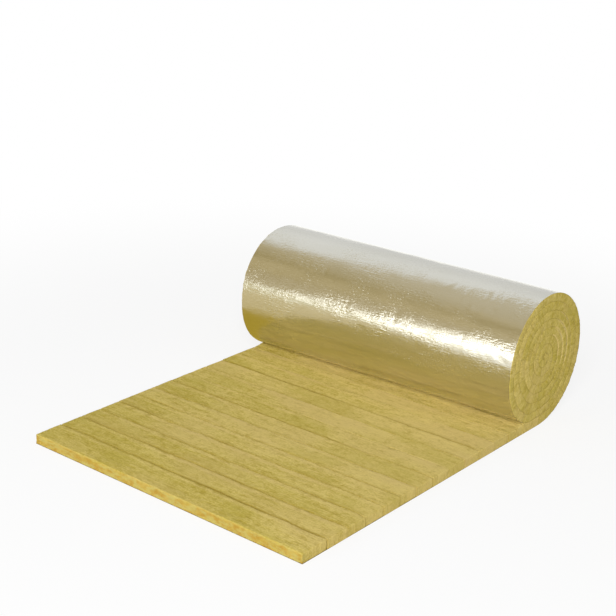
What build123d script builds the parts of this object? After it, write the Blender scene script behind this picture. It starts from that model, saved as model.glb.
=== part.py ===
from build123d import *
from math import cos, radians, tan
import os

# Foil-faced insulation mat, partly unrolled. Strips of wool lie side by side across the mat,
# each glued to one long sheet of foil. The flat stretch lies wool side up, passes under the
# roll and is wound up behind it, so the foil is the outside of the roll. X runs across the
# mat, Y along it towards the roll, Z up. The origin is the middle of the floor under it.

# Driving dimensions, in millimetres and degrees
mat_width = 1000.0
mat_thickness = 30.0
foil_thickness = 1.0
flat_length = 1120.0
front_strip = 95.0
strip_pitch = 80.0
full_strips = 12
roll_radius = 214.2
wound_pitch = 27.0
half_turns = 15
roll_skew = 3.3
edge_round = 2.0

# Places that follow from them
skew_slope = tan(radians(roll_skew))
side_shift = mat_width / 2 * skew_slope
middle_of_length = (roll_radius + side_shift - flat_length) / 2


def place(shape):
    """Move a shape from the line where the roll meets the floor to the part's origin."""
    return Pos(0, -middle_of_length, 0) * shape


def winding():
    """List each half turn of the foil's outer face: side, centre height and radius.

    Every half turn is a semicircle with its centre above the line where the roll meets the
    floor. Each one starts where the last one ends and is half a pitch smaller, so the mat
    spirals inwards without a kink. The first turn stands on the flat mat's full thickness,
    and the turns inside it are pressed closer together.
    """
    turns = []
    radius = roll_radius
    start = 0.0
    for number in range(half_turns + 1):
        rising = number % 2 == 0
        side = 1 if rising else -1
        centre = start + side * radius
        turns.append((side, centre, radius))
        start = centre + side * radius
        pitch = mat_thickness if number == 0 else wound_pitch
        radius -= pitch / 2
    return turns


def half_turn(turn, inset=0.0):
    """Draw one semicircle of the winding, set in from the foil's outer face."""
    side, centre, radius = turn
    reach = radius - inset
    return ThreePointArc((0, centre - side * reach), (side * reach, centre), (0, centre + side * reach))


def across_the_mat(outline):
    """Sweep an outline in Y and Z across the mat, along the roll's skewed axis."""
    left_side = Plane(origin=(-mat_width / 2, -side_shift, 0), x_dir=(0, 1, 0), z_dir=(1, 0, 0))
    face = left_side * make_face(outline)
    slant = (1, skew_slope, 0)
    return extrude(face, amount=mat_width / cos(radians(roll_skew)), dir=slant)


def foil_facing():
    """Make the one sheet of foil: flat under the strips, then spiralling to the core."""
    turns = winding()[:half_turns]
    spare = flat_length + 2 * side_shift
    outer = [half_turn(turn) for turn in turns]
    inner = [half_turn(turn, foil_thickness) for turn in turns]
    outline = Curve() + [
        Line((-spare, foil_thickness), (-spare, 0)),
        Line((-spare, 0), (0, 0)),
        *outer,
        Line(outer[-1] @ 1, inner[-1] @ 1),
        *inner,
        Line((0, foil_thickness), (-spare, foil_thickness)),
    ]
    sheet = across_the_mat(outline)
    front_cut = Pos(0, -flat_length - spare, 0) * Box(2 * mat_width, 2 * spare, 4 * mat_thickness)
    return sheet - front_cut


def wound_wool():
    """Make the wound stretch of wool, which fills the spiral between the turns of foil."""
    turns = winding()
    eye = turns[half_turns]
    outer = [half_turn(turn, foil_thickness) for turn in turns[:half_turns]]
    inner = [half_turn(turn) for turn in turns[2:half_turns]]
    eye_edge = half_turn(eye)
    outline = Curve() + [
        *outer,
        Line(outer[-1] @ 1, eye_edge @ 1),
        eye_edge,
        *inner,
        Line((0, mat_thickness), (0, foil_thickness)),
    ]
    return across_the_mat(outline)


def strip(front, back):
    """Make one flat strip of wool with its long top edges eased."""
    depth = back - front
    height = mat_thickness - foil_thickness
    middle = Pos(0, (front + back) / 2, foil_thickness + height / 2)
    block = middle * Box(mat_width, depth, height)
    long_edges = block.edges().filter_by(Axis.X).group_by(Axis.Z)[-1]
    return fillet(long_edges, edge_round)


def last_strip(front):
    """Make the strip that runs in under the roll, cut off along the skewed contact line."""
    height = mat_thickness - foil_thickness
    corners = [
        (-mat_width / 2, front),
        (mat_width / 2, front),
        (mat_width / 2, side_shift),
        (-mat_width / 2, -side_shift),
    ]
    plan = Pos(0, 0, foil_thickness) * make_face(Polyline(*corners, close=True))
    block = extrude(plan, amount=height, dir=(0, 0, 1))
    front_edge = block.edges().filter_by(Axis.X).group_by(Axis.Z)[-1]
    return fillet(front_edge, edge_round)


def flat_strips():
    """Make the strips of the flat stretch, from its free end to the roll."""
    front = -flat_length
    strips = []
    for number in range(full_strips + 1):
        depth = front_strip if number == 0 else strip_pitch
        strips.append(strip(front, front + depth))
        front += depth
    strips.append(last_strip(front))
    return strips


def save(shape, node):
    """Write one piece to its own STEP file."""
    export_step(place(shape), f"parts/{node}.step")


os.makedirs("parts", exist_ok=True)
for number, piece in enumerate(flat_strips(), start=1):
    save(piece, f"lamella_{number:02d}")
save(wound_wool(), "wound_wool")
save(foil_facing(), "foil_facing")
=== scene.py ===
"""Dress the foil-faced insulation mat: flat wool strips, wound wool, foil, studio and camera."""
import logging
import math
from dataclasses import dataclass, field
from enum import Enum

import bmesh
import bpy
from bmesh.types import BMEdge, BMesh, BMLayerItem, BMVert
from mathutils import Matrix, Vector, noise


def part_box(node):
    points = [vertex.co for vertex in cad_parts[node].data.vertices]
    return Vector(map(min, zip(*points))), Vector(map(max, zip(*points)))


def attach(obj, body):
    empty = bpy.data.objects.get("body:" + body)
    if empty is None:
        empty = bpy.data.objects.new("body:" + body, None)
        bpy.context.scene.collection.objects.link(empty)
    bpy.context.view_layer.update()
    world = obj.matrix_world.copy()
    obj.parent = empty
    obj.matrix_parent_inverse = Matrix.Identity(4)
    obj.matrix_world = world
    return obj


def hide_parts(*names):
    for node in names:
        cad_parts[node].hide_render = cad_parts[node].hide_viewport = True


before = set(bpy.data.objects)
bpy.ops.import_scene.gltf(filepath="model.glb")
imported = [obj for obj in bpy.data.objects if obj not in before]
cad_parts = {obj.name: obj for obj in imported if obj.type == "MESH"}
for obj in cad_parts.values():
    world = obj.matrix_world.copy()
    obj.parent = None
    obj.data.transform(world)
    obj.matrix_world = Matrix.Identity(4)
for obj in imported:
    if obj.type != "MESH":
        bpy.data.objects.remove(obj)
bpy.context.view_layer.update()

BODY = "root"
Colour = tuple[float, float, float]
Point = tuple[float, float, float]
Range = tuple[float, float]
log = logging.getLogger("insulation_mat")


class Slot(Enum):
    """Material slots of the record that the pieces take their finish from."""

    WOOL = "stone_wool"
    FOIL = "foil"


class Mask(Enum):
    """Channels of the colour attribute that steers the wool finish."""

    # The first channel holds the joints' darker wool and the painted shade beside them and between the
    # turns.
    GROOVE = 0
    CUT_FACE = 1
    TONE = 2


MASK_NAME = "wool_masks"
PLACE_NAME = "wool_place"
UV_NAME = "unrolled"


def linear(red: int, green: int, blue: int) -> Colour:
    """Turn a display colour, of 0 to 255 a channel, into the renderer's own."""
    shares = (channel / 255 for channel in (red, green, blue))
    return tuple(s / 12.92 if s <= 0.04045 else ((s + 0.055) / 1.055) ** 2.4 for s in shares)


def mix(low: float, high: float, share: float) -> float:
    """Blend two numbers."""
    return low + (high - low) * share


def ramp(value: float, low: float, high: float) -> float:
    """Rise smoothly from 0 at low to 1 at high."""
    share = min(max((value - low) / (high - low), 0.0), 1.0)
    return share * share * (3 - 2 * share)


def crowd(share: float, power: float) -> float:
    """Move a share from -1 to 1 towards its nearer end, so that rows lie closer there."""
    return math.copysign(1 - (1 - abs(share)) ** power, share)


def bell(distance: float, width: float) -> float:
    """Fall from 1 at no distance to nearly 0 at twice the width."""
    return math.exp(-((distance / width) ** 2))


def grain(point: Point, seed: float = 0.0) -> float:
    """Read smooth noise, about -1 to 1, at a point."""
    return noise.noise(Vector(point) + Vector((seed, seed * 1.7, seed * 0.6)))


def put(name: str, data: bpy.types.ID) -> bpy.types.Object:
    """Put an object with this data into the scene."""
    made = bpy.data.objects.new(name, data)
    bpy.context.scene.collection.objects.link(made)
    return made


def put_mesh(name: str, mesh: BMesh) -> bpy.types.Object:
    """Put an object with this mesh into the scene, and free the mesh."""
    data = bpy.data.meshes.new(name)
    mesh.to_mesh(data)
    mesh.free()
    return put(name, data)


class Signal:
    """Wrap a shader socket, so that maths on it adds its own nodes."""

    def __init__(self, shader: "Shader", socket: bpy.types.NodeSocket) -> None:
        """Keep the socket, and the shader that it belongs to."""
        self.shader = shader
        self.socket = socket

    def math(self, operation: str, *others: "Signal | float", clamp: bool = False) -> "Signal":
        """Apply a Math node to this value and the others."""
        return self.shader.math(operation, self, *others, clamp=clamp)

    def __add__(self, other: "Signal | float") -> "Signal":
        """Add a value."""
        return self.math("ADD", other)

    __radd__ = __add__

    def __sub__(self, other: "Signal | float") -> "Signal":
        """Take a value away."""
        return self.math("SUBTRACT", other)

    def __rsub__(self, other: float) -> "Signal":
        """Take this value away from a number."""
        return self.shader.math("SUBTRACT", other, self)

    def __mul__(self, other: "Signal | float") -> "Signal":
        """Multiply by a value."""
        return self.math("MULTIPLY", other)

    __rmul__ = __mul__

    def __truediv__(self, other: "Signal | float") -> "Signal":
        """Divide by a value."""
        return self.math("DIVIDE", other)

    def clamped(self) -> "Signal":
        """Keep the value from 0 to 1."""
        return self.math("ADD", 0.0, clamp=True)

    def rise(self, low: "Signal | float", high: "Signal | float") -> "Signal":
        """Rise smoothly from 0 at low to 1 at high."""
        values = {"Value": self, "From Min": low, "From Max": high}
        return self.shader.signal("ShaderNodeMapRange", {"interpolation_type": "SMOOTHSTEP"}, values)

    def fall(self, low: "Signal | float", high: "Signal | float") -> "Signal":
        """Fall smoothly from 1 at low to 0 at high."""
        return 1 - self.rise(low, high)


class Shader:
    """Write one node tree."""

    def __init__(self, tree: bpy.types.NodeTree) -> None:
        """Start from an empty tree."""
        self.tree = tree
        tree.nodes.clear()

    def node(self, kind: str, settings: dict | None = None, values: dict | None = None) -> bpy.types.Node:
        """Add a node.

        Args:
            kind: The node's type.
            settings: Its options, set before its sockets.
            values: A number, colour, Signal or socket for each input, by name or place.

        Returns:
            The node.
        """
        made = self.tree.nodes.new(kind)
        for name, value in (settings or {}).items():
            setattr(made, name, value)
        for key, value in (values or {}).items():
            if isinstance(value, Signal):
                value = value.socket
            if isinstance(value, bpy.types.NodeSocket):
                self.tree.links.new(value, made.inputs[key])
            else:
                made.inputs[key].default_value = value
        return made

    def signal(
        self, kind: str, settings: dict | None = None, values: dict | None = None, output: str | int = 0
    ) -> Signal:
        """Add a node and wrap one of its outputs."""
        return Signal(self, self.node(kind, settings, values).outputs[output])

    def math(self, operation: str, *values: Signal | float, clamp: bool = False) -> Signal:
        """Apply a Math node to values, and keep the result from 0 to 1 if it is clamped."""
        settings = {"operation": operation, "use_clamp": clamp}
        return self.signal("ShaderNodeMath", settings, dict(enumerate(values)))

    def axes(self, vector: Signal) -> list[Signal]:
        """Split a vector into its three values."""
        split = self.node("ShaderNodeSeparateXYZ", {}, {0: vector})
        return [Signal(self, split.outputs[axis]) for axis in range(3)]

    def blend(self, share: Signal | float, low: Signal | Colour, high: Signal | Colour) -> Signal:
        """Blend two colours.

        Args:
            share: How much of the second colour shows.
            low: The first colour.
            high: The second colour.

        Returns:
            The blended colour.
        """
        low, high = ((*c, 1.0) if isinstance(c, tuple) else c for c in (low, high))
        return self.signal("ShaderNodeMix", {"data_type": "RGBA"}, {0: share, 6: low, 7: high}, 2)

    def noise(self, place: Signal, scale: Point, detail: float = 2.0, roughness: float = 0.5) -> Signal:
        """Read noise, from 0 to 1, at a place that is scaled along its axes first."""
        place = self.signal("ShaderNodeMapping", {}, {"Vector": place, "Scale": scale})
        values = {"Vector": place, "Scale": 1.0, "Detail": detail, "Roughness": roughness}
        return self.signal("ShaderNodeTexNoise", {}, values)

    def bump(self, height: Signal) -> Signal:
        """Turn a height in metres into a normal."""
        return self.signal("ShaderNodeBump", {}, {"Height": height, "Distance": 1.0, "Strength": 1.0})

    def light(
        self, colour: Signal | Colour, strength: float = 1.0, kind: str = "ShaderNodeEmission"
    ) -> Signal:
        """Add light of a colour."""
        colour = (*colour, 1.0) if isinstance(colour, tuple) else colour
        return self.signal(kind, {}, {"Color": colour, "Strength": strength})

    def choose(self, share: Signal | float, low: Signal, high: Signal) -> Signal:
        """Mix two surfaces or lights."""
        return self.signal("ShaderNodeMixShader", {}, {0: share, 1: low, 2: high})

    def by_ray(self, lit: Signal, seen: Signal, mirrored: Signal) -> Signal:
        """Choose what the camera sees, what the foil mirrors, and what lights the rest."""
        rays = self.node("ShaderNodeLightPath")
        surface = self.choose(Signal(self, rays.outputs["Is Camera Ray"]), lit, seen)
        return self.choose(Signal(self, rays.outputs["Is Glossy Ray"]), surface, mirrored)


@dataclass(frozen=True)
class WoolFinish:
    """Matt stone wool in olive gold.

    The fibres lie in sheets that stand across each strip, so their edges show as fine streaks
    along it, and upright streaks on its ends. The slab's own skin, at the free end and inside
    the joints, is smoother and more orange. The joints are darker, with painted shade beside
    them and between the turns, and the tone carries painted light and shade as well.
    """

    pale: Colour = linear(210, 190, 111)
    body: Colour = linear(169, 148, 56)
    deep: Colour = linear(156, 136, 54)
    beige: Colour = linear(200, 176, 112)
    olive: Colour = linear(172, 157, 62)
    # Colour of the joints' darker wool and of the painted shade beside them.
    joint: Colour = linear(134, 113, 38)
    skin: Colour = linear(173, 158, 85)
    skin_deep: Colour = linear(161, 127, 46)
    roughness: float = 0.92
    sheen: float = 0.15
    tuft_height: float = 0.0013
    speckle_height: float = 0.0009
    sheet_height: float = 0.0006
    fibre_height: float = 0.0003

    def make(self) -> bpy.types.Material:
        """Build the material, which reads the place of each point in the unrolled mat.

        Returns:
            The material.
        """
        material = bpy.data.materials.new("stone_wool")
        material.use_nodes = True
        shader = Shader(material.node_tree)
        place = shader.signal("ShaderNodeAttribute", {"attribute_name": PLACE_NAME}, output="Vector")
        masks = shader.signal("ShaderNodeAttribute", {"attribute_name": MASK_NAME}, output="Color")
        split = shader.node("ShaderNodeSeparateColor", {}, {"Color": masks})
        dark_joint_and_shade, cut, tone_and_light = (Signal(shader, split.outputs[mask.value]) for mask in Mask)

        clouds = shader.noise(place, (6.0, 9.0, 9.0), 2.0)
        tufts = shader.noise(place, (42.0, 64.0, 42.0), 4.0, 0.65)
        sheets = shader.noise(place, (13.0, 230.0, 13.0), 3.0, 0.6)
        speckle = shader.noise(place, (140.0, 190.0, 140.0), 2.0, 0.6)
        fibres = shader.noise(place, (110.0, 430.0, 110.0), 2.0, 0.6)
        light = clouds.rise(0.3, 0.7) * 0.25 + tufts.rise(0.32, 0.68) * 0.47 + sheets.rise(0.3, 0.7) * 0.44
        # The tone channel brings painted light and shade into the wool's lightness.
        light = light + speckle.rise(0.28, 0.72) * 0.62 + fibres * 0.16 + tone_and_light * 0.5 - 0.57

        colour = shader.blend(light.clamped(), self.body, self.pale)
        hue = shader.noise(place, (3.0, 5.0, 5.0), 2.0, 0.6)
        # The tone, painted light included, turns pale wool beige and dark wool olive.
        colour = shader.blend(hue.rise(0.5, 0.66) * 0.33 + tone_and_light.rise(0.35, 0.8) * 0.3, colour, self.beige)
        colour = shader.blend(hue.fall(0.36, 0.5) * 0.3 + tone_and_light.fall(0.3, 0.6) * 0.25, colour, self.olive)
        colour = shader.blend(tufts.fall(0.3, 0.44) * 0.3, colour, self.deep)

        blotch = shader.noise(place, (30.0, 60.0, 80.0), 3.0, 0.65)
        skin = shader.blend(blotch.rise(0.38, 0.62), self.skin_deep, self.skin)
        bare = cut * (0.4 + blotch * 1.4) - tufts.fall(0.35, 0.6) * 0.5
        colour = shader.blend(bare.clamped(), colour, skin)
        # Darker joints, with painted shade spread beside them.
        colour = shader.blend((dark_joint_and_shade * (0.7 + tufts * 0.5)).clamped(), colour, self.joint)

        lumps = tufts * self.tuft_height + speckle * self.speckle_height
        height = lumps + sheets * self.sheet_height + fibres * self.fibre_height
        values = {
            "Base Color": colour,
            "Roughness": self.roughness,
            "Specular IOR Level": self.sheen,
            "Normal": shader.bump(height),
        }
        surface = shader.signal("ShaderNodeBsdfPrincipled", {}, values)
        shader.node("ShaderNodeOutputMaterial", {}, {"Surface": surface})
        return material


@dataclass(frozen=True)
class FoilFinish:
    """Bright aluminium foil, drawn tight over a fine grid of reinforcing threads."""

    metal: Colour = (0.74, 0.72, 0.63)
    dull: Colour = (0.7, 0.68, 0.58)
    thread_spacing: float = 0.005
    thread_width: float = 0.2
    thread_height: float = 0.00003
    ripple_height: float = 0.00038
    crumple_height: float = 0.0009
    dimple_height: float = 0.0004
    streak_height: float = 0.00012
    dash_height: float = 0.00012
    roughness: float = 0.03
    smear_roughness: float = 0.05
    haze: float = 0.27
    haze_roughness: float = 0.38

    def make(self) -> bpy.types.Material:
        """Build the material, with its pattern in metres on the unrolled sheet.

        Returns:
            The material.
        """
        material = bpy.data.materials.new("aluminium_foil")
        material.use_nodes = True
        shader = Shader(material.node_tree)
        flat = shader.signal("ShaderNodeUVMap", {"uv_map": UV_NAME})
        across, along, _ = shader.axes(flat)
        grid = self.thread(across).math("MAXIMUM", self.thread(along))

        ripple = shader.noise(flat, (25.0, 190.0, 1.0), 2.0, 0.5)
        streaks = shader.noise(flat, (70.0, 420.0, 1.0), 1.0, 0.5)
        dashes = shader.noise(flat, (260.0, 50.0, 1.0), 1.0, 0.5)
        patches = shader.noise(flat, (7.0, 11.0, 1.0), 2.0, 0.5).rise(0.4, 0.66)
        crumple = (shader.noise(flat, (38.0, 60.0, 1.0), 3.0, 0.55) - 0.5).math("ABSOLUTE") * patches
        dimple = shader.noise(flat, (130.0, 220.0, 1.0), 1.0, 0.5).rise(0.6, 0.78) * (0.2 + patches)
        smear = shader.noise(flat, (5.0, 16.0, 1.0), 3.0, 0.55)
        rough = self.roughness + smear.rise(0.45, 0.75) * self.smear_roughness
        colour = shader.blend(smear.rise(0.35, 0.7) * 0.5, self.metal, self.dull)

        fine = ripple * self.ripple_height + streaks * self.streak_height + dashes * self.dash_height
        height = grid * self.thread_height + fine * (0.5 + patches) + dimple * self.dimple_height
        height = height - crumple * (2 * self.crumple_height)
        values = {"Base Color": colour, "Metallic": 1.0, "Normal": shader.bump(height)}
        bright = shader.signal("ShaderNodeBsdfPrincipled", {}, {**values, "Roughness": rough})
        hazy = shader.signal("ShaderNodeBsdfPrincipled", {}, {**values, "Roughness": self.haze_roughness})
        surface = shader.choose(self.haze, bright, hazy)
        shader.node("ShaderNodeOutputMaterial", {}, {"Surface": surface})
        return material

    def thread(self, along: Signal) -> Signal:
        """Raise a round thread at every spacing along one direction."""
        phase = (along / self.thread_spacing).math("FRACT")
        return (phase - 0.5).math("ABSOLUTE").fall(0.0, self.thread_width)


@dataclass(frozen=True)
class HalfTurn:
    """One semicircle of the winding, in the plane across the roll's axis."""

    side: int
    centre: float
    radius: float

    @property
    def length(self) -> float:
        """Length of the foil's outer face round this half turn."""
        return math.pi * self.radius

    def outward(self, share: float) -> tuple[float, float]:
        """Give the outward direction, in Y and Z, at a share of the half turn."""
        angle = math.pi * share
        return self.side * math.sin(angle), -self.side * math.cos(angle)

    def point(self, share: float, inset: float = 0.0) -> tuple[float, float]:
        """Give the point, in Y and Z, at a share of the half turn, set in from the foil's outer face."""
        across, up = self.outward(share)
        return across * (self.radius - inset), self.centre + up * (self.radius - inset)


@dataclass
class Winding:
    """The mat's path: flat on the floor, then spiralling inwards in semicircles.

    A point's Y counts from the contact line, and so does a distance along the foil. A range gives
    where an effect starts and where it is full. Those of the roll's settled lower front are in
    degrees below its axis, and in metres from it.
    """

    thickness: float
    foil: float
    roll_radius: float
    contact: float
    pitch: float = 0.027
    half_turns: int = 15
    skew: float = math.tan(math.radians(3.3))
    unevenness: float = 0.003
    loose_inside: Range = (0.185, 0.13)
    swell_height: float = 0.009
    swell_reach: Range = (0.125, 0.055)
    swell_spare: float = 0.0006
    sag: float = 0.014
    sag_from_above: Range = (-13.0, 47.0)
    sag_from_below: Range = (89.0, 62.0)
    sag_outside: Range = (0.11, 0.175)
    arcs_across: Range = (0.35, 0.6)
    arcs_up: Range = (-0.55, -0.15)
    arcs_outside: Range = (0.08, 0.1)
    arcs_inside: Range = (0.17, 0.155)
    skin_shown: Range = (1.36, 1.3)
    turns: list[HalfTurn] = field(init=False)

    def __post_init__(self) -> None:
        """Lay out the half turns, and one more that bounds the eye."""
        self.turns = []
        radius, start = self.roll_radius, 0.0
        for number in range(self.half_turns + 1):
            side = 1 if number % 2 == 0 else -1
            centre = start + side * radius
            self.turns.append(HalfTurn(side, centre, radius))
            start = centre + side * radius
            radius -= (self.thickness if number == 0 else self.pitch) / 2

    @property
    def wound_length(self) -> float:
        """Length of the foil's outer face from the contact line to its end."""
        return sum(turn.length for turn in self.turns[: self.half_turns])

    @property
    def skin_length(self) -> float:
        """Length of the first full turn, which is the roll's outside."""
        return self.turns[0].length + self.turns[1].length

    def locate(self, distance: float) -> tuple[int, float]:
        """Find the half turn at a distance.

        Args:
            distance: The length along the foil.

        Returns:
            The half turn's number, and the share of it that lies before.
        """
        for number, turn in enumerate(self.turns[: self.half_turns]):
            if distance <= turn.length:
                return number, distance / turn.length
            distance -= turn.length
        return self.half_turns - 1, 1.0

    def wool_point(self, distance: float, depth: float, parted: float) -> tuple[float, float]:
        """Give a point in the wound wool.

        Args:
            distance: The length along the foil.
            depth: 0 at the wool's foil side, 1 at its bare side.
            parted: 1 where the foil parts this turn from the one outside it, 0 where they meet.

        Returns:
            The point's Y and Z.
        """
        number, share = self.locate(distance)
        outer = self.turns[number].point(share, self.foil * parted)
        inner = self.bare_side(number, share)
        return mix(outer[0], inner[0], depth), mix(outer[1], inner[1], depth)

    def shown(self, distance: float) -> float:
        """Give how far the foil's edge shows on the roll's end: round the outside, and on a few arcs.

        Args:
            distance: The length along the foil.

        Returns:
            0 where the edge is hidden, to 1 where it shows.
        """
        number, share = self.locate(distance)
        if number < 2:
            return 1.0
        turn = self.turns[number]
        across, up = turn.outward(share)
        arc = ramp(across, *self.arcs_across) * ramp(up, *self.arcs_up)
        arc *= ramp(turn.radius, *self.arcs_outside) * ramp(turn.radius, *self.arcs_inside)
        broken = ramp(grain((number * 2.7, share * 4, 0), 6.0), -0.45, -0.1)
        return max(arc * broken, ramp(distance, *self.skin_shown))

    def bare_side(self, number: int, share: float) -> tuple[float, float]:
        """Give the bare side of the wool: on the next turn's foil, or at the eye of the roll.

        Args:
            number: The half turn's number.
            share: The share of it that lies before.

        Returns:
            The point's Y and Z.
        """
        if number + 2 <= self.half_turns:
            return self.turns[number + 2].point(share)
        eye = self.turns[self.half_turns]
        return 0.0, mix(eye.point(1.0)[1], self.turns[number].point(1.0, self.foil)[1], share)

    def room(self, ahead: float) -> float:
        """Give the height between the flat wool and the roll.

        Args:
            ahead: How far ahead of the contact line.

        Returns:
            The height.
        """
        roll = self.turns[1]
        across = min(max(ahead, 0.0), 0.15)
        under = roll.centre - math.sqrt(roll.radius**2 - across**2)
        _, drop = self.sagged(-across, under)
        return under + drop - self.thickness

    def swell(self, ahead: float) -> float:
        """Give how far the flat wool stands up ahead of the roll, which has sunk into it a little."""
        height = self.swell_height * ramp(ahead, *self.swell_reach)
        return max(0.0, min(self.room(ahead) - self.swell_spare, height))

    def sagged(self, y: float, z: float) -> tuple[float, float]:
        """Give how far a point of the roll's lower front has settled outwards.

        Args:
            y: The point's Y.
            z: Its height.

        Returns:
            The way that it has moved, in Y and Z.
        """
        if y >= 0:
            return 0.0, 0.0
        down = math.degrees(math.atan2(self.roll_radius - z, -y))
        reach = math.hypot(y, z - self.roll_radius)
        push = self.sag * ramp(down, *self.sag_from_above) * ramp(down, *self.sag_from_below)
        push *= ramp(reach, *self.sag_outside)
        return push * y / reach, push * (z - self.roll_radius) / reach

    def place(self, x: float, y: float, z: float) -> Vector:
        """Move a point from the contact line at the mat's middle to the part's frame.

        The roll has settled at its lower front, and the turns inside are a little out of round.

        Args:
            x: The point's place across the mat.
            y: Its Y.
            z: Its height.

        Returns:
            The point in the part's frame.
        """
        reach = math.hypot(y, z - self.roll_radius)
        loose = self.unevenness * ramp(reach, *self.loose_inside) * ramp(reach, 0.0, 0.03)
        spot = (y * 14, z * 14, x * 0.7)
        push_y, push_z = loose * grain(spot, 51.0), loose * grain(spot, 57.0)
        sag_y, sag_z = self.sagged(y, z)
        return Vector((x, y + push_y + sag_y + self.contact + x * self.skew, z + push_z + sag_z))


@dataclass(frozen=True)
class JointLine:
    """The line between two strips of wool, as it wanders across the mat."""

    middle: float
    tilt: float
    openness: float
    seed: float
    half_width: float
    closed_end: Range = (0.004, 0.03)
    least_at_end: float = 0.5
    least_along: float = 0.66

    def waver(self, x: float, often: float, row: float) -> float:
        """Read this line's own noise, which changes so often in a metre."""
        return grain((x * often, row, 0.0), self.seed)

    def y(self, x: float) -> float:
        """Give the line's place along the mat: it wanders, unless it ends the flat stretch."""
        wander = 0.0025 * self.waver(x, 6, 0) + 0.0024 * self.waver(x, 21, 1) + 0.0014 * self.waver(x, 60, 2)
        return self.middle + self.tilt * x + (wander if self.openness else 0.0)

    def depth(self, x: float) -> float:
        """Give how open the joint is here, from 0 to about 1: it closes near the mat's sides."""
        closing = mix(self.least_at_end, 1.0, ramp(self.half_width - abs(x), *self.closed_end))
        return self.openness * closing * mix(self.least_along, 1.0, ramp(self.waver(x, 5, 2), -0.35, 0.35))

    def gap(self, x: float) -> float:
        """Give the width of the gap here."""
        return 0.0002 + 0.0012 * self.depth(x) * (1 + 0.5 * self.waver(x, 45, 3))


@dataclass
class Dresser:
    """Turn meshes into dressed pieces of the part."""

    materials: dict[Slot, bpy.types.Material]

    def finish(self, mesh: BMesh, name: str, slot: Slot, node: str) -> bpy.types.Object:
        """Make a piece from a mesh.

        Args:
            mesh: The mesh, which is freed.
            name: The piece's name.
            slot: The slot that gives its finish.
            node: The CAD node that it stands for.

        Returns:
            The piece.
        """
        for face in mesh.faces:
            face.smooth = True
        piece = put_mesh(name, mesh)
        data = piece.data
        data.materials.append(self.materials[slot])
        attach(piece, BODY)
        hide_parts(node)
        log.info("%s: %d vertices, %d faces", name, len(data.vertices), len(data.polygons))
        return piece


@dataclass
class WoolBlock:
    """A block of wool from -1 to 1 each way, with the layers that its finish reads."""

    rows: tuple[int, int, int]
    mesh: BMesh = field(init=False)
    masks: BMLayerItem = field(init=False)
    places: BMLayerItem = field(init=False)

    def __post_init__(self) -> None:
        """Divide a cube into the rows, and add the layers."""
        self.mesh = bmesh.new()
        bmesh.ops.create_cube(self.mesh, size=2.0)
        for axis, rows in enumerate(self.rows):
            along = [e for e in self.mesh.edges if abs(e.verts[0].co[axis] - e.verts[1].co[axis]) > 1.0]
            if rows > 1:
                bmesh.ops.subdivide_edges(self.mesh, edges=along, cuts=rows - 1, use_grid_fill=True)
        self.masks = self.mesh.verts.layers.float_color.new(MASK_NAME)
        self.places = self.mesh.verts.layers.float_vector.new(PLACE_NAME)

    def paint(self, vert: BMVert, dark_joint_and_shade: float, cut: float, tone_and_light: float, place: Point) -> None:
        """Set what the finish reads at a vertex."""
        vert[self.masks] = (min(max(dark_joint_and_shade, 0.0), 1.0), cut, tone_and_light, 1.0)
        vert[self.places] = place


@dataclass(frozen=True)
class StripSpot:
    """Where a point lies on the sharp block of a strip, before its edges are eased."""

    number: int
    x: float
    y: float
    z: float
    near: float
    at_front: bool
    joint: JointLine

    @property
    def free(self) -> bool:
        """Whether the nearer long side is the mat's free edge."""
        return self.number == 0 and self.at_front

    @property
    def joined(self) -> bool:
        """Whether the wool runs on there without a joint."""
        return self.joint.openness == 0 and not self.free


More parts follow.
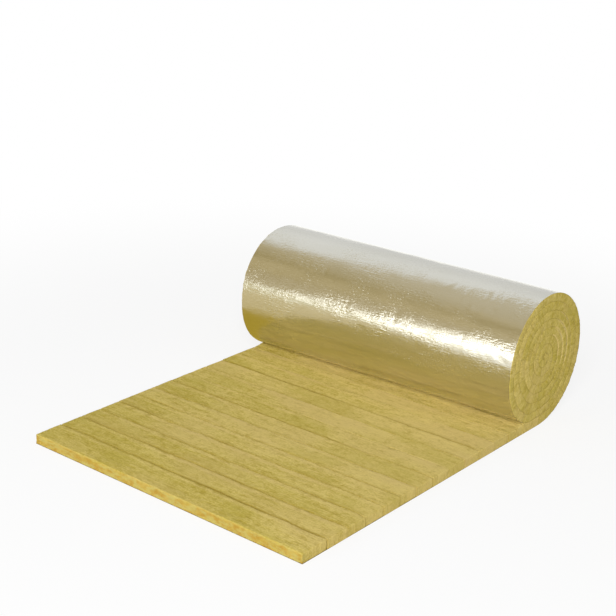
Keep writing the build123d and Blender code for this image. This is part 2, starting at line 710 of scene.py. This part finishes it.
@dataclass
class FlatStrips:
    """The strips of wool that lie side by side on the flat stretch.

    The openness is that of the joints behind each strip, from the free end on.
    """

    winding: Winding
    nodes: list[str]
    openness: tuple[float, ...] = (
        0.56, 0.46, 0.42, 0.46, 0.36, 0.32, 0.4, 0.07, 0.28, 0.48, 0.24, 0.18, 0.2
    )
    joint_tilt: float = 0.012
    joint_stray: float = 0.005
    rows: tuple[int, int, int] = (320, 24, 7)
    crowding: tuple[float, float, float] = (1.15, 1.8, 1.5)
    edge_round: float = 0.003
    relief: float = 0.0009
    free_relief: float = 1.8
    lift: float = 0.0008
    side_stray: float = 0.002
    # Strength and widths of the joints' darkening, which beyond the gap is painted shade, wider on the front
    # side.
    dark_joint_and_shade_strength: float = 1.5
    front_shade_width: float = 0.0048
    back_shade_width: float = 0.0024
    # These set a painted highlight along each strip's back rim.
    rim_highlight: float = 0.3
    rim_place: float = 0.013
    rim_width: float = 0.006
    strip_shift: float = 0.37

    def joints(self) -> list[JointLine]:
        """Lay out the lines between the strips.

        Returns:
            The lines, with the free end first and the contact line last.
        """
        ends = [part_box(node) for node in self.nodes]
        half_width = ends[0][1].x
        lines = [JointLine(ends[0][0].y, 0.0, 0.0, 1.0, half_width)]
        for number, (low, _) in enumerate(ends[1:], start=1):
            stray = mix(self.joint_stray, -1.5 * self.joint_stray, ramp(number, 2, 8))
            tilt = self.joint_tilt * ramp(number, 0, 3)
            openness = self.openness[number - 1]
            lines.append(JointLine(low.y + stray, tilt, openness, 7.3 * number, half_width))
        lines.append(JointLine(self.winding.contact, self.winding.skew, 0.0, 2.0, half_width))
        return lines

    def build(self, dresser: Dresser) -> None:
        """Make a piece for every strip."""
        lines = self.joints()
        for number, node in enumerate(self.nodes):
            mesh = self.strip(number, lines[number], lines[number + 1])
            piece = dresser.finish(mesh, node.replace("lamella", "wool_strip"), Slot.WOOL, node)

    def strip(self, number: int, front: JointLine, back: JointLine) -> BMesh:
        """Shape one strip between two joint lines.

        Args:
            number: The strip's number, from 0 at the free end.
            front: The line on the side of the free end.
            back: The line on the side of the roll.

        Returns:
            The strip's mesh.
        """
        low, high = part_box(self.nodes[number])
        block = WoolBlock(self.rows)
        under = [f for f in block.mesh.faces if f.calc_center_median().z < -0.999]
        bmesh.ops.dissolve_faces(block.mesh, faces=under)
        for vert in block.mesh.verts:
            share = [crowd(vert.co[axis], self.crowding[axis]) for axis in range(3)]
            x = share[0] * high.x
            y_front = front.y(x) + front.gap(x) / 2
            y_back = back.y(x) - back.gap(x) / 2
            y = mix(y_front, y_back, (share[1] + 1) / 2)
            z = mix(low.z, high.z, (share[2] + 1) / 2)
            at_front = y - y_front < y_back - y
            joint, near = (front, y - y_front) if at_front else (back, y_back - y)
            spot = StripSpot(number, x, y, z, near, at_front, joint)
            vert.co = self.shaped(spot, low, high)
            place = (x + number * self.strip_shift, y, z)
            block.paint(vert, self.dark_joint_and_shade_at(spot), self.skin_at(spot, high), self.tone_and_light_at(spot), place)
        bmesh.ops.recalc_face_normals(block.mesh, faces=block.mesh.faces)
        return block.mesh

    def shaped(self, spot: StripSpot, low: Vector, high: Vector) -> Vector:
        """Move a point of the sharp block to its place on the strip.

        Args:
            spot: The point.
            low: The strip's lowest corner.
            high: Its highest corner.

        Returns:
            Its place, where the edges are eased, the face is rough, and the wool stands up at the roll.
        """
        point, out = self.eased(spot, high)
        ahead = self.winding.contact + spot.x * self.winding.skew - spot.y
        swell = self.winding.swell(ahead)
        clear = ramp(self.winding.room(ahead) - swell, 0.0005, 0.003)
        fade = ramp(spot.z - low.z, 0.0, 0.004) * clear
        rough = self.roughness_at(spot.x, spot.y, spot.z + spot.number * self.strip_shift)
        rough *= self.free_relief if spot.free else 1.0
        point += out * rough * fade
        lift = self.lift * grain((spot.number * 1.9, 4.0, 0.0), 9.0)
        upper = ramp(spot.z, high.z - 0.01, high.z) * clear
        point.z += lift * upper * ramp(spot.near, 0.0, 0.012) * ramp(high.x - abs(spot.x), 0.0, 0.02)
        point.z += swell * (spot.z - low.z) / (high.z - low.z)
        side = math.copysign(1, spot.x)
        shift = self.side_stray * grain((spot.number * 4.3, side * 3, 0), 15.0)
        point.x += side * shift * ramp(abs(spot.x), high.x - 0.05, high.x)
        return point

    def easing(self, spot: StripSpot) -> Vector:
        """Give how far in from the end, the long side and the top the upper edges are rounded.

        Args:
            spot: The point.

        Returns:
            The three distances.
        """
        if spot.joined:
            return Vector((self.edge_round, 0.0002, self.edge_round))
        if spot.free:
            return Vector((self.edge_round, self.edge_round, self.edge_round))
        open_here = spot.joint.depth(spot.x)
        return Vector((self.edge_round, 0.0015 + 0.008 * open_here, 0.001 + 0.004 * open_here))

    def eased(self, spot: StripSpot, high: Vector) -> tuple[Vector, Vector]:
        """Ease a point in from the strip's upper edges and corners.

        Args:
            spot: The point.
            high: The strip's highest corner.

        Returns:
            The eased point, and the direction outwards there.
        """
        point = Vector((spot.x, spot.y, spot.z))
        size = self.easing(spot)
        gaps = (high.x - abs(point.x), spot.near, high.z - point.z)
        into = Vector([max(0.0, 1 - gap / reach) for gap, reach in zip(gaps, size)])
        if into.length < 1e-6:
            return point, Vector((0, 0, 0))
        signs = Vector((math.copysign(1, point.x), -1 if spot.at_front else 1, 1))
        spare = max(0.0, 1 - 1 / into.length)
        return point - into * signs * size * spare, (into * signs).normalized()

    def roughness_at(self, x: float, y: float, z: float) -> float:
        """Give how far the wool stands out or falls in.

        Args:
            x: The point's place across the mat.
            y: Its place along the mat.
            z: Its height, shifted for each strip.

        Returns:
            The distance outwards.
        """
        slow = grain((x * 7, y * 16, z * 16), 3.0)
        middle = grain((x * 40, y * 85, z * 40), 11.0)
        fine = grain((x * 90, y * 230, z * 90), 21.0)
        return self.relief * (0.6 * slow + 0.6 * middle + 0.35 * fine) - 0.0003

    def dark_joint_and_shade_at(self, spot: StripSpot) -> float:
        """Give the joint's darker wool and the painted shade beside it: none at the free edge and where the
        wool runs on.
        """
        strength = 0.0 if spot.free or spot.joined else self.dark_joint_and_shade_strength * spot.joint.depth(spot.x)
        return strength * bell(spot.near, self.front_shade_width if spot.at_front else self.back_shade_width)

    @staticmethod
    def skin_at(spot: StripSpot, high: Vector) -> float:
        """Give how far the slab's skin shows, on the free edge, or the cut of the fibres, on the ends.

        Args:
            spot: The point.
            high: The strip's highest corner.

        Returns:
            The share, from 0 to 1.
        """
        on_end = ramp(abs(spot.x), high.x - 0.002, high.x - 0.0004)
        reach = 0.008 * (1 + 1.4 * grain((spot.x * 28, 0, 0), 26.0))
        skin = ramp(spot.near, mix(reach, 0.02, on_end), 0.0) * ramp(high.z - spot.z, -0.004, 0.006)
        return max(skin if spot.free else 0.0, 0.15 * on_end * ramp(high.z - spot.z, 0.0, 0.003))

    def tone_and_light_at(self, spot: StripSpot) -> float:
        """Give how pale the wool is, painted light included.

        Args:
            spot: The point.

        Returns:
            The tone: the strips differ and are paler to the right, and painted light makes them paler
                towards the roll and lights their back rims.
        """
        tone_and_light = 0.4 + 0.24 * grain((spot.number * 3.1, 0.0, 0.0), 5.0)
        slow = 0.2 * grain((spot.x * 2.2, spot.y * 9, 0), 23.0)
        # Painted highlight along the back rim, where the rounded edge faces the light.
        rim = 0.0 if spot.at_front else self.rim_highlight * bell(spot.near - self.rim_place, self.rim_width)
        # The rise towards the roll is painted light against the roll's shade; the rise to the right is a
        # plain gradient.
        return min(max(tone_and_light + slow + 0.35 * spot.x + 0.25 * ramp(spot.y, -0.6, 0.3), 0.0), 1.0) + rim


@dataclass
class WoundWool:
    """The wound stretch of wool, whose turns show on both ends of the roll."""

    winding: Winding
    half_width: float
    rows: tuple[int, int, int] = (3, 1900, 9)
    strip_pitch: float = 0.08
    lap: float = 0.005
    proud: float = 0.0011
    seam_depth: float = 0.0006
    seam_width: float = 0.003
    # Width of the painted shade along the lines between the turns.
    turn_shade_width: float = 0.0018
    # Width and strength of the painted highlight on the wool where the foil's edges show.
    arc_width: float = 0.003
    arc_highlight: float = 2.2
    strip_shift: float = 0.37

    def build(self, dresser: Dresser) -> None:
        """Make the wound wool."""
        piece = dresser.finish(self.ribbon(), "wound_wool_turns", Slot.WOOL, "wound_wool")

    def ribbon(self) -> BMesh:
        """Wind a long block of wool up along the spiral.

        Returns:
            The wool's mesh.
        """
        block = WoolBlock(self.rows)
        length = self.winding.wound_length
        for vert in block.mesh.verts:
            end = math.copysign(1, vert.co.x)
            at_end = abs(vert.co.x) > 0.9
            distance = (vert.co.y + 1) / 2 * length
            depth = (crowd(vert.co.z, 1.5) + 1) / 2
            outside = ramp(self.winding.skin_length - distance, 0.0, 0.05)
            parted = mix(self.winding.shown(distance), 0.4, outside) if at_end else 1.0
            y, z = self.winding.wool_point(distance, depth, parted)
            to_foil = min(depth, 1 - depth) * self.winding.pitch
            strip = distance / self.strip_pitch + 0.1 * grain((distance * 3, 0, 0), 4.0)
            to_joint = abs(strip - round(strip)) * self.strip_pitch
            seam = bell(to_joint, self.seam_width) * ramp(grain((round(strip) * 5.1, 0, 0), 6.0), -0.1, 0.5)
            bulge = self.proud * ramp(to_foil, 0.0, 0.006) + self.fluff(y, z, distance, end)
            bulge -= self.seam_depth * seam
            reach = self.half_width + (bulge - 0.0004 if at_end else -self.lap)
            vert.co = self.winding.place(end * reach, y, z)
            # Painted shade along the lines between the turns, and at the strip seams.
            turn_shade = 0.22 * ramp(grain((distance * 5.0, depth, 0), 14.0), -0.3, 0.4)
            dark_joint_and_shade = turn_shade * bell(to_foil, self.turn_shade_width) + 0.15 * seam
            # The fall with Y and height is painted shade across the roll's ends: darker towards the back and
            # the top.
            tone_and_light = 0.34 + 0.24 * grain((round(strip) * 2.3, 0, 0), 8.0) - 0.9 * y - 0.5 * (z - 0.2)
            # Painted highlight: pale arcs on the wool where the foil's edges show, in place of their glint.
            inside = ramp(distance - self.winding.skin_length, 0.0, 0.1)
            lit = inside * self.winding.shown(distance) * bell(to_foil, self.arc_width)
            tone_and_light = min(max(tone_and_light, 0.0), 1.0) + self.arc_highlight * lit
            shift = end * 2.0 + math.floor(strip) * self.strip_shift
            place = (shift, distance, depth * self.winding.pitch)
            block.paint(vert, dark_joint_and_shade * (1 - lit), 0.1, tone_and_light, place)
        bmesh.ops.recalc_face_normals(block.mesh, faces=block.mesh.faces)
        bmesh.ops.remove_doubles(block.mesh, verts=block.mesh.verts, dist=1e-6)
        return block.mesh

    @staticmethod
    def fluff(y: float, z: float, distance: float, end: float) -> float:
        """Give how far the cut end stands out: lumps, and streaks from the fibre sheets.

        Args:
            y: The point's Y, from the contact line.
            z: Its height.
            distance: Its length along the foil.
            end: -1 at the left end of the roll, 1 at the right.

        Returns:
            The distance outwards.
        """
        slow = grain((end, y * 14, z * 14), 31.0)
        middle = grain((end, y * 60, z * 60), 37.0)
        streak = grain((end, distance * 190, 0), 41.0)
        fine = grain((end, y * 170, z * 170), 43.0)
        return 0.0009 * slow + 0.0012 * middle + 0.0004 * streak + 0.0008 * fine


@dataclass
class FoilSheet:
    """The one sheet of foil: under the flat strips, round the roll and in between its turns."""

    winding: Winding
    flat_length: float
    half_width: float
    skin_rows: tuple[int, int] = (176, 228)
    turn_rows: int = 40
    thickness: float = 0.0003
    strip_pitch: float = 0.08
    seam: float = 0.006
    edge_width: float = 0.006
    hidden_edge: float = -0.006
    shown_edge: float = -0.0008
    ragged: float = 0.0004
    facet: float = 0.0004
    billow: float = 0.0006
    wrinkle: float = 0.00022
    crease_height: float = 0.0006
    dent: float = 0.0006
    frill: float = 0.0008
    deepest: float = -0.0007
    deepest_at_edge: float = -0.0003

    def build(self, dresser: Dresser) -> None:
        """Make the sheet, with its thickness inwards of the outer face."""
        piece = dresser.finish(self.sheet(), "foil_sheet", Slot.FOIL, "foil_facing")
        solid = piece.modifiers.new("thickness", "SOLIDIFY")
        solid.thickness = self.thickness
        solid.offset = -1.0
        full = self.flat_length + self.winding.wound_length
        2 * self.half_width

    def sheet(self) -> BMesh:
        """Lay out the sheet flat in three stretches, join them, and wind it up.

        Returns:
            The sheet's mesh, without its thickness.
        """
        skin_end = self.flat_length + self.winding.skin_length
        full = self.flat_length + self.winding.wound_length
        mesh = bmesh.new()
        across, along = self.skin_rows
        stretches = (
            (2, 8, 0.0, self.flat_length - self.seam),
            (across, along, self.flat_length, skin_end),
            (2, self.turn_rows * (self.winding.half_turns - 2), skin_end + self.seam, full),
        )
        ends = [self.stretch(mesh, *sizes) for sizes in stretches]
        for (_, last), (first, _) in zip(ends, ends[1:]):
            bmesh.ops.bridge_loops(mesh, edges=last + first)
        bmesh.ops.recalc_face_normals(mesh, faces=mesh.faces)
        if any(face.normal.z > 0 for face in mesh.faces):
            bmesh.ops.reverse_faces(mesh, faces=mesh.faces)
        for edge in mesh.edges:
            edge.smooth = not edge.is_boundary
        unrolled = mesh.loops.layers.uv.new(UV_NAME)
        for face in mesh.faces:
            for loop in face.loops:
                loop[unrolled].uv = loop.vert.co.xy
        for vert in mesh.verts:
            vert.co = self.wind(vert.co.x, vert.co.y)
        return mesh

    def stretch(
        self, mesh: BMesh, across: int, along: int, start: float, end: float
    ) -> tuple[list[BMEdge], list[BMEdge]]:
        """Add one stretch of the flat sheet.

        Args:
            mesh: The mesh that it is added to.
            across: Its rows across the mat.
            along: Its rows along the mat.
            start: Where it starts along the sheet.
            end: Where it ends.

        Returns:
            The edges of its first row and of its last.
        """
        made = bmesh.ops.create_grid(mesh, x_segments=across, y_segments=along, size=1.0)["verts"]
        for vert in made:
            vert.co = (vert.co.x * self.half_width, mix(start, end, (vert.co.y + 1) / 2), 0.0)
        edges = {edge for vert in made for edge in vert.link_edges}

        def row(distance: float) -> list[BMEdge]:
            """Find the edges at a distance along the sheet."""
            return [e for e in edges if all(abs(v.co.y - distance) < 1e-5 for v in e.verts)]

        return row(start), row(end)

    def wind(self, x: float, distance: float) -> Vector:
        """Move a point of the flat sheet to its place on the winding.

        Args:
            x: The point's place across the sheet.
            distance: Its place along the sheet.

        Returns:
            The point in the part's frame.
        """
        past = distance - self.flat_length
        at_edge = ramp(abs(x), self.half_width - self.edge_width, self.half_width)
        if past <= 0:
            lean = x * self.winding.skew * distance / self.flat_length
            return Vector((x, self.winding.contact + past + lean, 0.0))
        number, share = self.winding.locate(past)
        y, z = self.winding.turns[number].point(share)
        out_y, out_z = self.winding.turns[number].outward(share)
        height = self.relief(x, past) if number < 2 else 0.0
        ragged = self.ragged * (grain((past * 60, x, 0), 3.0) + grain((past * 14, x, 0), 4.0))
        edge = ragged + mix(self.hidden_edge, self.shown_edge, self.winding.shown(past))
        x *= 1 + at_edge * edge / self.half_width
        return self.winding.place(x, y + out_y * height, z + out_z * height)

    def relief(self, x: float, past: float) -> float:
        """Give how far the foil stands off its true curve: facets, billows, creases and dents.

        Args:
            x: The point's place across the sheet.
            past: Its length along the foil, past the contact line.

        Returns:
            The distance outwards.
        """
        visible = ramp(past, 0.05, 0.2) * ramp(self.winding.skin_length - past, 0.0, 0.12)
        strip = past / self.strip_pitch + 0.03 * grain((x * 3, past * 2, 0), 2.0)
        number = math.floor(strip)
        share = strip - number
        taut = 0.6 + 0.8 * grain((number * 3.7, x * 1.2, 0), 5.0)
        height = -self.facet * (1 - (2 * share - 1) ** 2) * taut
        height += self.billow * grain((x * 4.5, past * 13, 0), 7.0)
        height += self.wrinkle * grain((x * 17, past * 34, 0), 8.0)
        height += self.crease_height * self.crease((x * 13, past * 22, 0.0), 13.0)
        height -= self.dent * ramp(grain((x * 30, past * 40, 0), 18.0), 0.25, 0.75)
        near_edge = ramp(abs(x), self.half_width - 0.025, self.half_width)
        height += self.frill * near_edge * grain((past * 75, x, 0), 19.0)
        at_edge = ramp(abs(x), self.half_width - 0.02, self.half_width)
        return visible * max(height, mix(self.deepest, self.deepest_at_edge, at_edge))

    @staticmethod
    def crease(point: Point, seed: float) -> float:
        """Raise a sharp ridge in some places."""
        ridge = 1 - min(abs(grain(point, seed)) * 6, 1.0)
        return ridge * ridge * ramp(grain((point[0] * 0.35, point[1] * 0.4, 0.0), seed + 1), 0.05, 0.45)


@dataclass
class Studio:
    """A plain pale floor, soft light, and surroundings that the foil mirrors."""

    floor_size: float = 60.0
    floor_colour: Colour = (0.86, 0.86, 0.855)
    sky_strength: float = 0.42
    key_power: float = 632.0
    front_power: float = 180.0
    window: Colour = (2.3, 2.3, 2.25)
    white: Colour = (1.17, 1.17, 1.14)
    dim: Colour = linear(231, 225, 192)
    pale: Colour = (0.89, 0.91, 0.95)
    grey: Colour = (0.76, 0.77, 0.8)
    wall: Colour = linear(203, 187, 144)
    wall_dark: Colour = linear(168, 151, 100)
    wall_low: Colour = linear(189, 173, 133)
    wall_high: Colour = linear(205, 195, 170)
    # Painted shade on the floor that the foil mirrors: beige away from the light, olive beside the roll.
    near_floor_shade: Colour = linear(219, 203, 157)
    shade_beside_roll: Colour = linear(186, 162, 60)
    key_place: Point = (4.0, -6.4, 5.0)
    key_size: float = 3.6
    front_place: Point = (-2.0, -7.0, 1.35)
    front_size: float = 2.4
    aim: Point = (0.0, 0.0, 0.1)

    def build(self) -> None:
        """Make the floor, the world and the lamps."""
        self.floor()
        self.world()
        self.lamp("key", self.key_place, self.key_size, self.key_power, mirrored=True)
        self.lamp("front", self.front_place, self.front_size, self.front_power, mirrored=False)

    def floor(self) -> None:
        """Make the floor: white, with the part's shadow, and mirrored by the foil with painted light and
        shade.
        """
        mesh = bmesh.new()
        bmesh.ops.create_grid(mesh, x_segments=2, y_segments=2, size=self.floor_size / 2)
        floor = put_mesh("floor", mesh)
        material = bpy.data.materials.new("floor")
        material.use_nodes = True
        floor.data.materials.append(material)
        shader = Shader(material.node_tree)
        place = shader.signal("ShaderNodeTexCoord", output="Object")
        x, y, _ = shader.axes(place)
        reach = shader.signal("ShaderNodeVectorMath", {"operation": "LENGTH"}, {0: place}, "Value")

        matt = shader.signal("ShaderNodeBsdfDiffuse", {}, {"Color": (*self.floor_colour, 1.0)})
        plain = shader.light((1.0, 1.0, 1.0))
        seen = shader.choose(0.8 + reach.rise(1.0, 2.6) * 0.2, matt, plain)
        ahead = x.rise(-0.85, -0.45) * y.fall(-1.5, -1.1)
        beyond = reach.rise(2.8, 4.0).math("MAXIMUM", y.rise(0.9, 1.3))
        lit = ahead.math("MAXIMUM", beyond).math("MAXIMUM", x.rise(0.8, 1.2))
        left = (x / y).rise(0.32, 0.5) * y.fall(-1.5, -1.0)
        # The mirrored floor is painted: white where the light falls, beige shade elsewhere, olive shade
        # beside the roll.
        near = shader.blend(y.rise(-0.15, 0.05) * x.fall(-0.5, -0.4), self.near_floor_shade, self.shade_beside_roll)
        mirrored = shader.light(shader.blend(lit, near, shader.blend(left, self.white, self.dim)))
        shader.node("ShaderNodeOutputMaterial", {}, {"Surface": shader.by_ray(matt, seen, mirrored)})

    def world(self) -> None:
        """Light evenly, show white behind the part, and give the foil a room to mirror."""
        world = bpy.data.worlds.new("studio")
        bpy.context.scene.world = world
        world.use_nodes = True
        shader = Shader(world.node_tree)
        around = shader.signal("ShaderNodeTexCoord", output="Generated")
        x, y, z = shader.axes(around)
        aside = x.math("ABSOLUTE")
        edge = 0.3 + aside.fall(0.42, 0.47) * 0.08 - aside.rise(0.42, 0.58) * 0.25
        behind = (y - edge).rise(-0.1, 0.1)
        patches = shader.noise(around, (5.0, 5.0, 9.0), 3.0, 0.6).rise(0.35, 0.65)
        wall = shader.blend(patches, self.wall_dark, self.wall)
        wall = shader.blend(z.rise(0.72, 0.92), wall, self.wall_high)
        wall = shader.blend(z.fall(0.3, 0.55), wall, self.wall_low)
        colour = shader.blend(behind, wall, shader.blend(y.rise(0.5, 0.85), self.pale, self.grey))
        top = aside.fall(0.36, 0.42) * 0.17 + aside.fall(0.4, 0.53) * 0.09 + 0.09
        window = (z - top).fall(-0.012, 0.012) * y.fall(-0.15, 0.0)
        colour = shader.blend(window, colour, shader.blend(aside.rise(0.44, 0.53), self.window, self.dim))
        mirrored = shader.light(colour, kind="ShaderNodeBackground")
        even = shader.light((1.0, 1.0, 1.0), self.sky_strength, "ShaderNodeBackground")
        plain = shader.light((1.0, 1.0, 1.0), 1.0, "ShaderNodeBackground")
        shader.node("ShaderNodeOutputWorld", {}, {"Surface": shader.by_ray(even, plain, mirrored)})

    def lamp(self, name: str, place: Point, size: float, power: float, mirrored: bool) -> None:
        """Add a soft square lamp that faces the part.

        Args:
            name: The lamp's name.
            place: Where it hangs.
            size: The length of its sides.
            power: Its power in watts.
            mirrored: Whether the foil mirrors it.
        """
        data = bpy.data.lights.new(name, "AREA")
        data.shape = "SQUARE"
        data.size = size
        data.energy = power
        lamp = put(name, data)
        lamp.location = place
        lamp.rotation_euler = (Vector(self.aim) - Vector(place)).to_track_quat("-Z", "Y").to_euler()
        lamp.visible_glossy = mirrored


@dataclass(frozen=True)
class PhotoCamera:
    """The camera, as fitted to the mat's corners and the roll's outline in the photograph.

    The place is measured from the point where the roll meets the floor at the mat's middle.
    """

    place: Point = (2.4441, -3.6071, 1.8432)
    heading: float = -38.2609
    down: float = 20.1825
    roll: float = 2.5225
    lens: float = 84.17
    sensor: float = 36.0
    sight: float = 60.0

    def build(self, contact: float) -> None:
        """Make the camera and make it the scene's own.

        Args:
            contact: The Y of the point that its place is measured from.
        """
        heading, down, roll = (math.radians(angle) for angle in (self.heading, self.down, self.roll))
        ahead = Vector(
            (math.sin(heading) * math.cos(down), math.cos(heading) * math.cos(down), -math.sin(down))
        )
        right = Vector((math.cos(heading), -math.sin(heading), 0.0))
        up = right.cross(ahead)
        side = right * math.cos(roll) + up * math.sin(roll)
        top = up * math.cos(roll) - right * math.sin(roll)
        data = bpy.data.cameras.new("photo_camera")
        data.lens = self.lens
        data.sensor_width = self.sensor
        data.clip_end = self.sight
        camera = put("photo_camera", data)
        turn = Matrix((side, top, -ahead)).transposed().to_4x4()
        camera.matrix_world = Matrix.Translation(Vector(self.place) + Vector((0, contact, 0))) @ turn
        bpy.context.scene.camera = camera


def measured_winding(first_strip: str) -> Winding:
    """Read the winding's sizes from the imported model.

    Args:
        first_strip: The node of the strip at the free end.

    Returns:
        The winding.
    """
    foil_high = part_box("foil_facing")[1]
    strip_low, strip_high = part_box(first_strip)
    roll_radius = foil_high.z / 2
    contact = foil_high.y - roll_radius - foil_high.x * Winding.skew
    return Winding(strip_high.z, strip_low.z, roll_radius, contact)


def main() -> None:
    """Build the dressed part and its studio."""
    logging.basicConfig(level=logging.INFO, format="%(name)s: %(message)s")
    bpy.context.scene.view_settings.view_transform = "Standard"
    strips = sorted(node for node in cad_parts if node.startswith("lamella"))
    winding = measured_winding(strips[0])
    dresser = Dresser({Slot.WOOL: WoolFinish().make(), Slot.FOIL: FoilFinish().make()})
    low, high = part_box("foil_facing")
    FlatStrips(winding, strips).build(dresser)
    WoundWool(winding, high.x).build(dresser)
    FoilSheet(winding, winding.contact - low.y, high.x).build(dresser)
    Studio().build()
    PhotoCamera().build(winding.contact)


if __name__ == "__main__":
    main()
